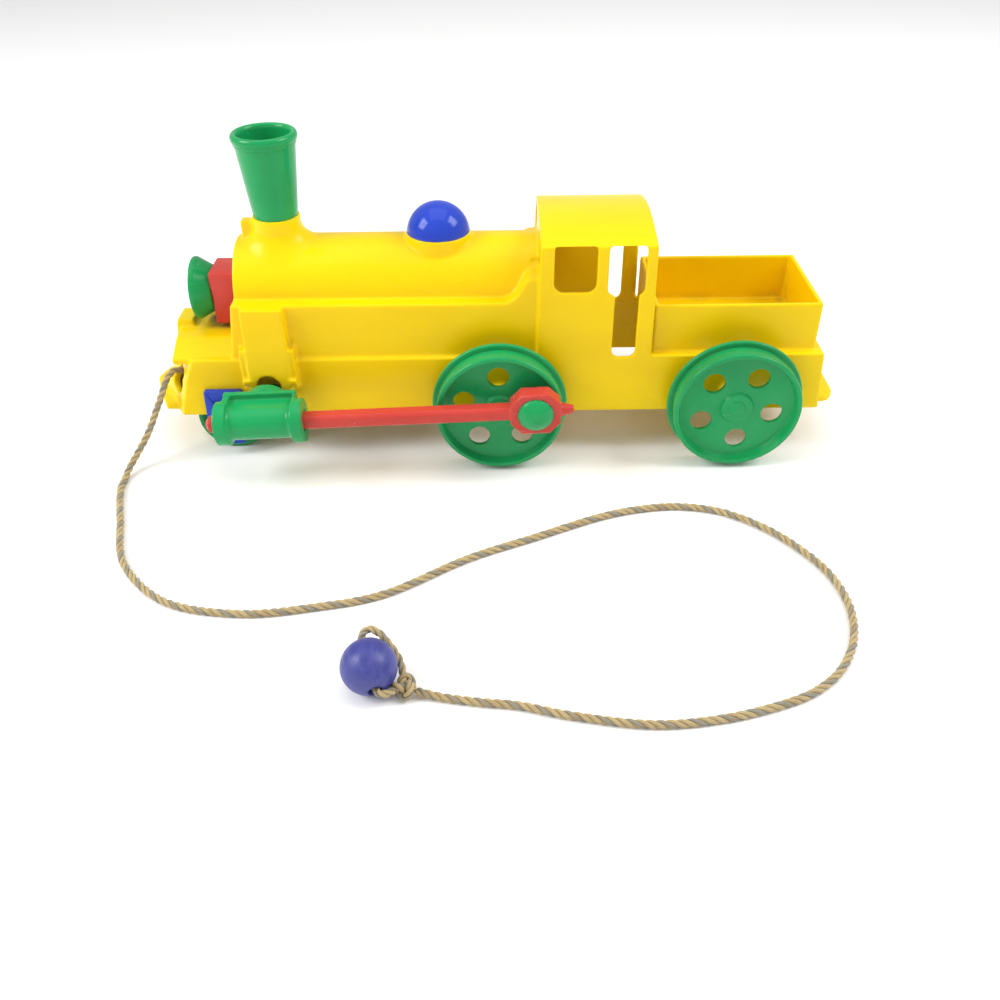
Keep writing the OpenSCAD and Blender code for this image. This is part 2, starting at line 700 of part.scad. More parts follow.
module crank_cap(side) {
    cap_r = 10;
    cap_h = 5.2;
    dome_big_r = (cap_r * cap_r + cap_h * cap_h) / (2 * cap_h);
    color(GREEN) on_rod_line(side) {
        intersection() {
            translate([rod_len, -big_end_face_y - cap_h + dome_big_r, 0]) rotate([90, 0, 0])
                sphere(r = dome_big_r);
            left_rod(rod_len, 0, cap_r, big_end_face_y, big_end_face_y + 10);
        }
        left_rod(rod_len, 0, 5.5, rod_y - rod_w / 2, big_end_face_y);
    }
}

// ---- pull cord ----

module pull_cord() {
    color(ROPE) tube(CORD_ROUTE, CORD_RINGS, CORD_SIDES, cord_d / 2);
}

module cord_loop() {
    color(ROPE) tube(LOOP_ROUTE, 24, CORD_SIDES, cord_d / 2);
}

module cord_stopper_knot() {
    color(ROPE) translate(stopper_c) sphere(r = knot_r, $fn = 32);
}

module cord_end_knot() {
    color(ROPE) translate(knot_c) sphere(r = knot_r, $fn = 32);
}

module pull_ball() {
    color(BLUE) translate(ball_c) difference() {
        sphere(r = ball_r);
        rotate([0, acos(ball_bore_dir[2] / norm(ball_bore_dir)), atan2(ball_bore_dir[1], ball_bore_dir[0])])
            translate([0, 0, -15]) cylinder(r = ball_bore_r, h = 30);
    }
}

body_shell();
chimney();
dome();
lamp_bracket();
headlamp();
axle_plate(-1);  // axle_plate_left
axle_plate(1);  // axle_plate_right
axle(driver_x, wheel_r, 53);  // driver_axle
big_wheel(-1, driver_x, crank_angle);  // driver_wheel_left
big_wheel(1, driver_x, crank_angle);  // driver_wheel_right
crank_pin(-1);  // crank_pin_left
crank_pin(1);  // crank_pin_right
axle(rear_x, wheel_r, 53);  // rear_axle
big_wheel(-1, rear_x, 132.3);  // rear_wheel_left
big_wheel(1, rear_x, 132.3);  // rear_wheel_right
axle(pony_x, pony_r, 44);  // pony_axle
pony_wheel(-1);  // pony_wheel_left
pony_wheel(1);  // pony_wheel_right
cylinder_body(-1);  // cylinder_left
cylinder_body(1);  // cylinder_right
pivot_clip(-1);  // pivot_clip_left
pivot_clip(1);  // pivot_clip_right
rod(-1);  // rod_left
rod(1);  // rod_right
crank_cap(-1);  // crank_cap_left
crank_cap(1);  // crank_cap_right
pull_cord();
cord_stopper_knot();
cord_end_knot();
cord_loop();
pull_ball();
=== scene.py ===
# %% [markdown]
# # A pull-along toy locomotive
#
# The toy is a set of bright plastic mouldings: a yellow body that is open underneath, green wheels,
# cylinders and chimney, red rods and lamp bracket, a blue dome, and a twisted cord with a painted wooden
# ball. The shapes that move and fit together come from the CAD frame. This script adds what a CAD part
# can't hold: softened edges, the twisted cord, its knots, and finishes that look moulded, handled and a
# little dusty.

# %% Load the frame
import json
import math

import bmesh
import bpy
from mathutils import Matrix, Vector, noise


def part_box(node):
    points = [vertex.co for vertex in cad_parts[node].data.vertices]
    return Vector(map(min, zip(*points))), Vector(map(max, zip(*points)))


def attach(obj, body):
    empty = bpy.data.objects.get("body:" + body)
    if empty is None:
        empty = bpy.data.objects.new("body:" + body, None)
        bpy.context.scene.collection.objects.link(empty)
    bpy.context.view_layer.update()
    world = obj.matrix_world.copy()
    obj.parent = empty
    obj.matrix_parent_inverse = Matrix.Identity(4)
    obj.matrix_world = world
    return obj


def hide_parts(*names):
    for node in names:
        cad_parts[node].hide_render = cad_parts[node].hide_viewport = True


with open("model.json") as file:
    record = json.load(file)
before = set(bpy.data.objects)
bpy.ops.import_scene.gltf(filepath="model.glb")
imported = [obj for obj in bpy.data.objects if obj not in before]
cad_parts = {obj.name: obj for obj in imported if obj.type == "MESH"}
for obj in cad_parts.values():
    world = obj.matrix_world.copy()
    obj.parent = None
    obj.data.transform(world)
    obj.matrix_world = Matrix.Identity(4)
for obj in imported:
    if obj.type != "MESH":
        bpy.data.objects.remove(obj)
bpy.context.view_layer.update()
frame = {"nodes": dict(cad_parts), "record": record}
nodes = frame["nodes"]
MM = 0.001

# %% [markdown]
# ## The camera
#
# A catalogue picture of a toy is taken from a little above, so that roof, boiler top and side all show. The
# camera stands half a metre in front of the toy's side and looks down on it. Its lens is a short one, which
# is why the roof looks wide. The angles are set one after the other: heading, tilt down, then a slight
# roll.

# %% Camera
CAMERA_PLACE = (0.0068, -0.5043, 0.3175)
CAMERA_TILT_DOWN = 37.32
CAMERA_HEADING = 0.17
CAMERA_ROLL = -0.77
LENS_MM = 34.26

camera_data = bpy.data.cameras.new("catalogue_camera")
camera_data.lens = LENS_MM
camera = bpy.data.objects.new("catalogue_camera", camera_data)
bpy.context.scene.collection.objects.link(camera)
camera.matrix_world = (
    Matrix.Translation(CAMERA_PLACE)
    @ Matrix.Rotation(math.radians(CAMERA_HEADING), 4, "Z")
    @ Matrix.Rotation(math.radians(90 - CAMERA_TILT_DOWN), 4, "X")
    @ Matrix.Rotation(math.radians(CAMERA_ROLL), 4, "Z")
)
bpy.context.scene.camera = camera
print("camera at", CAMERA_PLACE, "looking down", CAMERA_TILT_DOWN, "degrees")

# %% [markdown]
# ## The line of the cord
#
# A free cord is drawn as a few points on the floor, and a smooth curve runs through them. A
# Catmull-Rom curve is used because it passes through every point, so that the cord leaves the hole, lands
# on the floor and reaches the ball just where the points say. The same points shape the plain tube in the
# CAD frame.

# %% Cord route
CORD_ROUTE = [Vector(p) * MM for p in (
    (-166, -17, 42), (-171, -21.5, 46), (-176, -25.5, 48.8), (-179.5, -28.3, 49.4), (-183, -32, 46.5),
    (-186.5, -36, 38.5), (-191, -41, 29), (-196, -45.5, 19), (-202, -51, 10), (-206, -58, 4.5),
    (-207, -66, 2), (-206, -78, 2), (-198, -104, 2), (-185, -140, 2), (-157, -168, 2), (-119, -177, 2),
    (-83, -173, 2), (-50, -164, 2), (-11, -139, 2), (25, -122, 2), (57, -107, 2), (80, -100, 2),
    (102, -98, 2), (124, -103, 2), (143, -116, 2), (158, -134, 2), (168, -154, 2), (171, -176, 2),
    (167, -197, 2), (157, -215, 2), (144, -227, 2), (128, -235, 2), (100, -243, 2), (69, -246, 2),
    (36, -241, 2), (13, -235, 2), (-3, -233, 2), (-20, -230, 2), (-32, -227, 3))]
SPAN_STEPS = 24              # curve points from one route point to the next
ROPE_STEP = 0.45 * MM        # from one outline of the rope to the next
NO_LENGTH = 1e-9             # guards the division where two points coincide


def smooth_line(points):
    """Points along a Catmull-Rom curve through the given points."""
    line = []
    for i in range(len(points) - 1):
        a, b = points[max(i - 1, 0)], points[i]
        c, d = points[i + 1], points[min(i + 2, len(points) - 1)]
        for k in range(SPAN_STEPS):
            t = k / SPAN_STEPS
            line.append(0.5 * (2 * b + (c - a) * t + (2 * a - 5 * b + 4 * c - d) * t * t
                               + (3 * b - a - 3 * c + d) * t ** 3))
    return line + [points[-1].copy()]


def even_line(line):
    """The same line with its points an equal step apart, and its length."""
    lengths = [0.0]
    for p, q in zip(line, line[1:]):
        lengths.append(lengths[-1] + (q - p).length)
    count = max(2, round(lengths[-1] / ROPE_STEP))
    even = []
    k = 0
    for n in range(count + 1):
        s = lengths[-1] * n / count
        while k < len(line) - 2 and lengths[k + 1] < s:
            k += 1
        t = (s - lengths[k]) / max(lengths[k + 1] - lengths[k], NO_LENGTH)
        even.append(line[k].lerp(line[k + 1], t))
    return even, lengths[-1]


cord_line, cord_length = even_line(smooth_line(CORD_ROUTE))
print(f"the cord is {cord_length / MM:.0f} mm long")

# %% [markdown]
# ## The outline of a rope
#
# The cord is laid from three strands, two straw-coloured and one grey. Cut across, a rope is three
# overlapping circles. Building that outline directly gives one clean skin, where three separate tubes would
# cut into each other. A little noise lifts the skin here and there, as loose fibres do.

# %% Rope outline
STRANDS = 3
STRAND_TURN = 2 * math.pi / STRANDS
HALF_STRAND = math.pi / STRANDS
STRAND_SHARE = 0.52      # radius of one strand, of the cord's radius
ROPE_R = 1.95 * MM       # to the outside of a strand; the grooves lie deeper
SIDES = 30               # corners of the outline
FUZZ = 0.035             # how far fibres lift the skin, of its radius
FUZZ_LENGTH = 4 * MM
STRAND_APART = 7.3       # keeps the noise of one strand away from the next one's
FUZZ_ACROSS = 3          # how fast the noise changes across a strand


def rope_radius(angle, radius):
    """Distance from the middle of the rope to its skin, at an angle from the middle of a strand."""
    strand = radius * STRAND_SHARE
    away = radius - strand
    return away * math.cos(angle) + math.sqrt(max(strand ** 2 - (away * math.sin(angle)) ** 2, 0))


def outline_corner(angle, along, radius, size, phase):
    """The skin's distance from the middle at one corner, its strand, and its place across it, -1 to 1."""
    strand = math.floor((angle + HALF_STRAND) / STRAND_TURN) % STRANDS
    local = (angle + HALF_STRAND) % STRAND_TURN - HALF_STRAND
    across = strand * STRAND_APART + math.sin(local) * FUZZ_ACROSS
    lift = noise.noise(Vector((across, along / FUZZ_LENGTH, phase)))
    return size * rope_radius(local, radius) * (1 + FUZZ * lift), strand, local / HALF_STRAND


print(f"a groove is {(ROPE_R - rope_radius(HALF_STRAND, ROPE_R)) / MM:.2f} mm deep")

# %% [markdown]
# ## Twisting the cord
#
# The outline is repeated along the line and turned a little at every step, so that the strands wind round
# each other. Each point also remembers its strand and its place on it, so that the fibres in the finish can
# run along the strands. A cut end is drawn in a little, which rounds it off.

# %% Rope builder
LAY = 13 * MM            # one full turn of the strands
TAPER_RINGS = 4          # outlines that the rounded end takes
END_RING = 0.4           # keeps the first outline from shrinking to a point


def rope(name, line, radius, phase=0.0, taper_ends=True):
    """A twisted rope along a line of evenly spaced points."""
    mesh = bpy.data.meshes.new(name)
    bm = bmesh.new()
    place = bm.verts.layers.float_vector.new("strand_place")
    step = (line[1] - line[0]).length
    last = len(line) - 1
    across = None
    rings = []
    for n, p in enumerate(line):
        ahead = (line[min(n + 1, last)] - line[max(n - 1, 0)]).normalized()
        across = ahead.orthogonal() if across is None else across - ahead * across.dot(ahead)
        across.normalize()
        other = ahead.cross(across)
        size = math.sqrt(min(1.0, (min(n, last - n) + END_RING) / TAPER_RINGS)) if taper_ends else 1.0
        twist = phase + 2 * math.pi * n * step / LAY
        ring = []
        for k in range(SIDES):
            angle = 2 * math.pi * k / SIDES
            r, strand, side = outline_corner(angle, n * step, radius, size, phase)
            v = bm.verts.new(p + (across * math.cos(angle + twist) + other * math.sin(angle + twist)) * r)
            v[place] = (strand, side, n * step)
            ring.append(v)
        rings.append(ring)
    for low, high in zip(rings, rings[1:]):
        for k in range(SIDES):
            bm.faces.new((low[k], low[(k + 1) % SIDES], high[(k + 1) % SIDES], high[k]))
    bm.faces.new(list(reversed(rings[0])))
    bm.faces.new(rings[-1])
    bm.normal_update()
    for face in bm.faces:
        face.smooth = True
    bm.to_mesh(mesh)
    bm.free()
    piece = bpy.data.objects.new(name, mesh)
    bpy.context.scene.collection.objects.link(piece)
    return piece


pull_rope = rope("twisted_pull_cord", cord_line, ROPE_R)
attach(pull_rope, "locomotive")
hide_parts("pull_cord")
print("rope skin:", len(pull_rope.data.polygons), "faces")

# %% [markdown]
# ## Knots
#
# Both ends are held by knots. An overhand knot is a trefoil curve, three lobes that pass over and under
# each other, so a short piece of the same rope is swept along a trefoil and set flat on the floor by the
# ball. Inside the nose a second one keeps the cord from slipping out of its hole.

# %% Knots
TREFOIL_REACH = 3.0      # the trefoil's widest point, in its own units
TREFOIL_POINTS = 90
END_KNOT_W = 13.2 * MM
END_KNOT_H = 9 * MM
END_KNOT_Z = 4.4 * MM    # its middle, so that it rests on the floor
END_KNOT_TURN = 0.5
NOSE_KNOT_W = 11 * MM
NOSE_KNOT_H = 8.4 * MM
NOSE_KNOT_TURN = 0.2


def knot(name, middle, width, height, turn):
    """An overhand knot as a rope that follows a trefoil."""
    points = []
    for n in range(TREFOIL_POINTS + 1):
        a = 2 * math.pi * n / TREFOIL_POINTS
        flat = Vector((math.sin(a) + 2 * math.sin(2 * a), math.cos(a) - 2 * math.cos(2 * a), 0))
        p = flat * ((width / 2 - ROPE_R) / TREFOIL_REACH)
        p.z = -math.sin(3 * a) * (height / 2 - ROPE_R)
        points.append(Matrix.Rotation(turn, 3, "Z") @ p + middle)
    return rope(name, even_line(points)[0], ROPE_R, phase=turn, taper_ends=False)


def middle_of(node_name):
    low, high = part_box(node_name)
    return (low + high) / 2


end_knot_middle = middle_of("cord_end_knot")
end_knot_middle.z = END_KNOT_Z
end_knot = knot("overhand_knot", end_knot_middle, END_KNOT_W, END_KNOT_H, END_KNOT_TURN)
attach(end_knot, "locomotive")
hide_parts("cord_end_knot")

nose_knot = knot("nose_knot", middle_of("cord_stopper_knot"), NOSE_KNOT_W, NOSE_KNOT_H, NOSE_KNOT_TURN)
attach(nose_knot, "locomotive")
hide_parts("cord_stopper_knot")
print(f"knots {END_KNOT_W / MM:.1f} and {NOSE_KNOT_W / MM:.1f} mm wide")

# %% [markdown]
# ## The loop through the ball
#
# The cord goes through the ball's hole and back round its side to the knot, so two short runs of rope show:
# one over the ball's far shoulder and one from the mouth of the hole. They use the same rope builder.

# %% Loop
LOOP_R = ROPE_R * 0.92   # pulled tight, so a little thinner
FRONT_PHASE = 1.0        # starts its strands at another angle
BACK_LOOP = [Vector(p) * MM for p in (
    (-52, -218, 15), (-55, -212, 16.5), (-55.5, -208.5, 18), (-52.5, -206.4, 20), (-48, -207.3, 18.5),
    (-43.4, -210.5, 14.5), (-39.3, -215, 10.5), (-37.4, -220, 7.5), (-36.8, -224, 5.5))]
FRONT_LOOP = [Vector(p) * MM for p in (
    (-50.5, -224.5, 11.5), (-48.4, -230.5, 9.6), (-46, -233.2, 8.6), (-43, -232, 7.2), (-40, -229, 6))]

back_loop = rope("loop_round_ball", even_line(smooth_line(BACK_LOOP))[0], LOOP_R)
front_loop = rope("loop_into_ball", even_line(smooth_line(FRONT_LOOP))[0], LOOP_R, phase=FRONT_PHASE)
for piece in (back_loop, front_loop):
    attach(piece, "locomotive")
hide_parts("cord_loop")

print("the cord ends in a knot beside the ball")

# %% [markdown]
# ## Softened edges
#
# A moulding has no razor edges: the steel mould's corners are rounded so that the plastic flows and lets
# go. Small pieces get a Bevel modifier, after a Weld that joins the separate points the frame keeps on each
# side of an edge.
#
# The body has hundreds of short edges where shapes run into each other, and bevels pleat there. So the
# body, the cylinders and the rods are remade in small even cells and then relaxed, which rounds every edge
# by the same amount and fills inside corners with a small hollow curve, as a real mould does.

# %% Edge softening
BEVEL_MM = {
    "chimney": 0.3, "lamp_bracket": 1.4, "headlamp": 0.5, "axle_plate": 0.8, "wheel": 0.35, "crank_pin": 0.5,
    "crank_cap": 0.7, "pull_ball": 0.6, "axle": 0.3, "pivot_clip": 0.2,
}
# cell size in millimetres, rounds of relaxing, share of the faces kept
REMADE = {"body_shell": (0.7, 9, 0.35), "cylinder": (0.4, 7, 0.5), "rod": (0.4, 10, 0.5)}
SEAM_GAP = 0.002 * MM
BEVEL_STEPS = 3
SHARP_DEGREES = 32       # an edge that bends less stays as it is
RELAX_SHARE = 0.5


def join_seams(node):
    weld = node.modifiers.new("join_seams", "WELD")
    weld.merge_threshold = SEAM_GAP


def bevel_edges(node, width):
    """Rounds the sharp edges of a CAD node with modifiers, which leave its own points alone."""
    join_seams(node)
    bevel = node.modifiers.new("mould_radius", "BEVEL")
    bevel.width = width
    bevel.segments = BEVEL_STEPS
    bevel.limit_method = "ANGLE"
    bevel.angle_limit = math.radians(SHARP_DEGREES)
    bevel.use_clamp_overlap = False
    bevel.harden_normals = True
    for face in node.data.polygons:
        face.use_smooth = True


def remake_skin(node, cell_mm, rounds, keep):
    """Rounds outside and inside corners alike by remaking the skin in even cells."""
    join_seams(node)
    even = node.modifiers.new("even_skin", "REMESH")
    even.mode = "VOXEL"
    even.voxel_size = cell_mm * MM
    even.use_smooth_shade = True
    relax = node.modifiers.new("mould_radius", "SMOOTH")
    relax.factor = RELAX_SHARE
    relax.iterations = rounds
    lighter = node.modifiers.new("lighter_skin", "DECIMATE")
    lighter.ratio = keep


for name, node in nodes.items():
    if node.hide_render:
        continue
    remade = [values for key, values in REMADE.items() if name.startswith(key)]
    bevelled = [width for key, width in BEVEL_MM.items() if key in name]
    if remade:
        remake_skin(node, *remade[0])
    elif bevelled:
        bevel_edges(node, bevelled[0] * MM)
print("softened", sum(1 for n in nodes.values() if n.modifiers), "CAD pieces")

# %% [markdown]
# ## A small kit for building shader nodes
#
# Every finish below is a network of nodes. These few helpers keep each network short: one adds a node and
# sets its inputs, and the others are the kinds of node that come back again and again, such as a sum, a
# smooth step between two values, a mix of two colours and a cloudy noise.

# %% Node helpers
MIX_SHARE, MIX_A, MIX_B, MIX_COLOUR_OUT = 0, 6, 7, 2    # the colour sockets of a Mix node, by number


def feed(tree, socket, value):
    """Links a socket to another node's output, or sets it to a plain value."""
    if isinstance(value, bpy.types.NodeSocket):
        tree.links.new(value, socket)
    else:
        socket.default_value = value


def add(tree, kind, settings=None, **inputs):
    """A node of that kind, with settings on the node and inputs by name, or by number as i0, i1 and so on."""
    made = tree.nodes.new(kind)
    for key, value in (settings or {}).items():
        setattr(made, key, value)
    for key, value in inputs.items():
        by_number = key[0] == "i" and key[1:].isdigit()
        feed(tree, made.inputs[int(key[1:])] if by_number else made.inputs[key.replace("_", " ")], value)
    return made


def math_node(tree, operation, a, b=0.0, clamp=False):
    return add(tree, "ShaderNodeMath", {"operation": operation, "use_clamp": clamp}, i0=a, i1=b).outputs[0]


def span(tree, value, low, high, to_low=0.0, to_high=1.0):
    """The value's stretch from low to high, moved smoothly to another stretch."""
    made = add(tree, "ShaderNodeMapRange", {"interpolation_type": "SMOOTHSTEP"}, Value=value,
               From_Min=low, From_Max=high, To_Min=to_low, To_Max=to_high)
    return made.outputs["Result"]


def mix_colour(tree, share, a, b):
    made = add(tree, "ShaderNodeMix", {"data_type": "RGBA"})
    for number, value in ((MIX_SHARE, share), (MIX_A, a), (MIX_B, b)):
        feed(tree, made.inputs[number], value)
    return made.outputs[MIX_COLOUR_OUT]


def noise_of(tree, place, scale, detail=3.0, roughness=0.5):
    made = add(tree, "ShaderNodeTexNoise", Vector=place, Scale=scale, Detail=detail, Roughness=roughness)
    return made.outputs["Fac"]


def own_place(tree):
    """Each point's place in its own piece, in metres."""
    return add(tree, "ShaderNodeTexCoord").outputs["Object"]


def stretched(tree, place, scale, rotation=(0, 0, 0)):
    """A turned and stretched place, for streaks that run one way."""
    return add(tree, "ShaderNodeMapping", Vector=place, Rotation=rotation, Scale=scale).outputs[0]


print("node helpers ready")

# %% [markdown]
# ## Groups and materials
#
# Wear, dust and the skin of a moulding come back in several finishes, so each is a node group: a small
# network with named inputs and outputs that a material places with its own values. The Principled shader
# stays in the material. These helpers open a group, place one, and open a material.

# %% Group and material helpers
def group(name, inputs, outputs):
    """A new shader node group; returns its tree, its input sockets and its output sockets."""
    tree = bpy.data.node_groups.new(name, "ShaderNodeTree")
    for label, default in inputs.items():
        socket = tree.interface.new_socket(label, in_out="INPUT", socket_type="NodeSocketFloat")
        socket.default_value = default
    for label in outputs:
        tree.interface.new_socket(label, in_out="OUTPUT", socket_type="NodeSocketFloat")
    return tree, tree.nodes.new("NodeGroupInput").outputs, tree.nodes.new("NodeGroupOutput").inputs


def use(tree, made_group, **values):
    """Places a group in a material with its own values."""
    made = tree.nodes.new("ShaderNodeGroup")
    made.node_tree = made_group
    for key, value in values.items():
        made.inputs[key.replace("_", " ")].default_value = value
    return made.outputs


def material(name):
    """A new material; returns it with its tree and its Principled shader."""
    made = bpy.data.materials.new(name)
    made.use_nodes = True
    return made, made.node_tree, made.node_tree.nodes["Principled BSDF"]


def finish_surface(tree, shader, colour, rough, bump):
    """Links the three values that every finish varies over its surface."""
    tree.links.new(colour, shader.inputs["Base Color"])
    tree.links.new(rough, shader.inputs["Roughness"])
    tree.links.new(bump.outputs[0], shader.inputs["Normal"])


print("group and material helpers ready")

# %% [markdown]
# ## Moulded skin
#
# Moulded plastic is never quite flat. It carries a fine orange peel from the mould and broad, weak waves
# where the plastic flowed and shrank, and the pigment is a touch uneven along the flow. This group gives
# both: a height for the bump and a soft mottle for colour and gloss.

# %% Moulded skin group
PEEL_SCALE = 900         # cells to the metre, about a millimetre each
WAVE_SCALE = 55          # about 18 mm each
PEEL_SHARE = 0.12        # height of the peel, of the waves'
FLOW_SCALE = (9, 26, 26)


def build_moulded_skin():
    tree, inside, outside = group("moulded_skin", {"Peel": 1.0, "Waves": 1.0}, ("Height", "Mottle"))
    place = own_place(tree)
    peel = math_node(tree, "MULTIPLY", noise_of(tree, place, PEEL_SCALE, 2), inside["Peel"])
    waves = math_node(tree, "MULTIPLY", noise_of(tree, place, WAVE_SCALE, 1), inside["Waves"])
    height = math_node(tree, "ADD", math_node(tree, "MULTIPLY", peel, PEEL_SHARE), waves)
    flow = stretched(tree, place, FLOW_SCALE)
    tree.links.new(height, outside["Height"])
    tree.links.new(span(tree, noise_of(tree, flow, 1.0, 4), 0.3, 0.7), outside["Mottle"])
    return tree


moulded_skin = build_moulded_skin()
print("moulded skin:", len(moulded_skin.nodes), "nodes")

# %% [markdown]
# ## Handling wear
#
# Edges that rub go paler and duller first, then thin scratches gather on the flats. The edge mask compares
# the surface's normal with one averaged over a small radius, which differ only near an edge, and a noise
# breaks it up. Scratches are thin, long cells of a stretched noise, in two crossing directions.

# %% Handling wear group
EDGE_REACH = 1.2 * MM
EDGE_STARTS, EDGE_FULL = 0.985, 0.88          # how far the two normals still agree
EDGE_PATCH_SCALE = 130
SCRATCH_RUNS = ((0.5, (30, 900, 900)), (-0.9, (700, 45, 700)))    # turn, then stretch
SCRATCH_TILT = 0.3
SCRATCH_AREA_SCALE = 22


def build_handling_wear():
    tree, inside, outside = group("handling_wear", {"Edge reach": EDGE_REACH, "Edge amount": 1.0,
                                                    "Scratch amount": 1.0}, ("Edge", "Scratch"))
    place = own_place(tree)
    rounded = add(tree, "ShaderNodeBevel", {"samples": 4}, Radius=inside["Edge reach"]).outputs[0]
    true = add(tree, "ShaderNodeNewGeometry").outputs["Normal"]
    product = add(tree, "ShaderNodeVectorMath", {"operation": "DOT_PRODUCT"}, i0=rounded, i1=true)
    agree = product.outputs["Value"]
    patchy = span(tree, noise_of(tree, place, EDGE_PATCH_SCALE, 5, 0.65), 0.5, 0.68)
    edge = math_node(tree, "MULTIPLY", span(tree, agree, EDGE_STARTS, EDGE_FULL), patchy)
    scratches = None
    for turn, stretch in SCRATCH_RUNS:
        run = stretched(tree, place, stretch, (SCRATCH_TILT, turn, turn))
        line = span(tree, noise_of(tree, run, 1.0, 2), 0.69, 0.74)
        scratches = line if scratches is None else math_node(tree, "MAXIMUM", scratches, line)
    area = span(tree, noise_of(tree, place, SCRATCH_AREA_SCALE, 2), 0.48, 0.66)
    scratches = math_node(tree, "MULTIPLY", scratches, area)
    tree.links.new(math_node(tree, "MULTIPLY", edge, inside["Edge amount"], True), outside["Edge"])
    tree.links.new(math_node(tree, "MULTIPLY", scratches, inside["Scratch amount"], True), outside["Scratch"])
    return tree


handling_wear = build_handling_wear()
print("handling wear:", len(handling_wear.nodes), "nodes")

# %% [markdown]
# ## Dust and grime
#
# An old toy keeps brown dust where fingers don't reach: in inside corners, along the foot of ribs, and on
# flat tops in the shelter of something taller. Ambient occlusion finds those sheltered places, and noise
# makes the dust lie in patches. A second, speckled mask gives the few dark specks that are seen on old
# plastic.

# %% Dust group
DUST_REACH = 12 * MM
DUST_PATCH_SCALE = 85
DUST_GRAIN_SCALE = 1500
SPECK_SCALE = 75.0
SPECK_EDGE, SPECK_CORE = 0.05, 0.02      # of the distance between specks
SPECK_RARE = (0.93, 0.96)                # only cells with a value above this hold one


def build_settled_dust():
    tree, inside, outside = group("settled_dust", {"Reach": DUST_REACH, "Amount": 1.0}, ("Dust", "Specks"))
    place = own_place(tree)
    shelter = add(tree, "ShaderNodeAmbientOcclusion", {"samples": 8}, Distance=inside["Reach"]).outputs["AO"]
    corners = span(tree, shelter, 0.72, 0.3)
    patchy = span(tree, noise_of(tree, place, DUST_PATCH_SCALE, 5, 0.6), 0.36, 0.64)
    grains = span(tree, noise_of(tree, place, DUST_GRAIN_SCALE, 2, 0.7), 0.35, 0.6, 0.45, 1.0)
    dust = math_node(tree, "MULTIPLY", math_node(tree, "MULTIPLY", corners, patchy), grains)
    dots = add(tree, "ShaderNodeTexVoronoi", Vector=place, Scale=SPECK_SCALE)
    near = span(tree, dots.outputs["Distance"], SPECK_EDGE, SPECK_CORE)
    few = add(tree, "ShaderNodeSeparateColor", i0=dots.outputs["Color"]).outputs[0]
    specks = math_node(tree, "MULTIPLY", near, span(tree, few, *SPECK_RARE))
    tree.links.new(math_node(tree, "MULTIPLY", dust, inside["Amount"], True), outside["Dust"])
    tree.links.new(math_node(tree, "MULTIPLY", specks, inside["Amount"], True), outside["Specks"])
    return tree


settled_dust = build_settled_dust()
print("settled dust:", len(settled_dust.nodes), "nodes")

# %% [markdown]
# ## The plastics
#
# All four colours are the same tough, slightly waxy plastic, so one function builds them and each takes its
# own pigment. The base colour carries the mottle, the pale worn edges, the scratches and the dust.
# Roughness follows the same masks: wear and dust are duller than the untouched skin. A weak subsurface
# share lets a little light into the pigment, which keeps the yellow warm in its own shade.

# %% Plastic builder
DUST_COLOUR = (0.20, 0.125, 0.045, 1)
SPECK_COLOUR = (0.03, 0.02, 0.01, 1)
PLASTIC_IOR = 1.45
GLOW_REACH = (0.006, 0.003, 0.001)       # red light goes deepest
GLOW_SCALE = 0.5
MOTTLE_ROUGH = 0.05                      # roughness added where the colour is deeper
EDGE_ROUGH, SCRATCH_ROUGH, DUST_ROUGH = 0.2, 0.15, 0.45
SCRATCH_PALE = 0.5
SCRATCH_DEPTH = 0.08


def plastic(name, pigment, deep, worn, gloss, edge=0.5, scratch=0.4, dust=0.8, glow=0.05, shine=0.32):
    """A moulded plastic: its colour, its deeper flow colour, its worn colour and its roughness."""
    made, tree, shader = material(name)
    skin = use(tree, moulded_skin, Peel=1.0)
    wear = use(tree, handling_wear, Edge_amount=edge, Scratch_amount=scratch)
    dirt = use(tree, settled_dust, Amount=dust)
    colour = mix_colour(tree, skin["Mottle"], deep, pigment)
    colour = mix_colour(tree, wear["Edge"], colour, worn)
    colour = mix_colour(tree, math_node(tree, "MULTIPLY", wear["Scratch"], SCRATCH_PALE), colour, worn)
    colour = mix_colour(tree, dirt["Dust"], colour, DUST_COLOUR)
    colour = mix_colour(tree, dirt["Specks"], colour, SPECK_COLOUR)
    rough = span(tree, skin["Mottle"], 0.0, 1.0, gloss + MOTTLE_ROUGH, gloss)
    rough = math_node(tree, "ADD", rough, math_node(tree, "MULTIPLY", wear["Edge"], EDGE_ROUGH))
    rough = math_node(tree, "ADD", rough, math_node(tree, "MULTIPLY", wear["Scratch"], SCRATCH_ROUGH))
    rough = math_node(tree, "ADD", rough, math_node(tree, "MULTIPLY", dirt["Dust"], DUST_ROUGH), True)
    cut = math_node(tree, "MULTIPLY", wear["Scratch"], SCRATCH_DEPTH)
    height = math_node(tree, "SUBTRACT", skin["Height"], cut)
    bump = add(tree, "ShaderNodeBump", Height=height, Strength=0.12, Distance=0.0006)
    finish_surface(tree, shader, colour, rough, bump)
    shader.inputs["IOR"].default_value = PLASTIC_IOR
    shader.inputs["Specular IOR Level"].default_value = shine
    shader.inputs["Subsurface Weight"].default_value = glow
    shader.inputs["Subsurface Radius"].default_value = GLOW_REACH
    shader.inputs["Subsurface Scale"].default_value = GLOW_SCALE
    return made


print("plastic builder ready")

# %% [markdown]
# ## Four colours
#
# Each plastic has three tones: its pigment, a deeper one in streaks along the flow, and a paler one where
# it is rubbed. The red rods slide through the cylinders, so red is the most scratched. The dome's blue is
# the shiniest, and the yellow, with its pale pigment, lets in the most light.

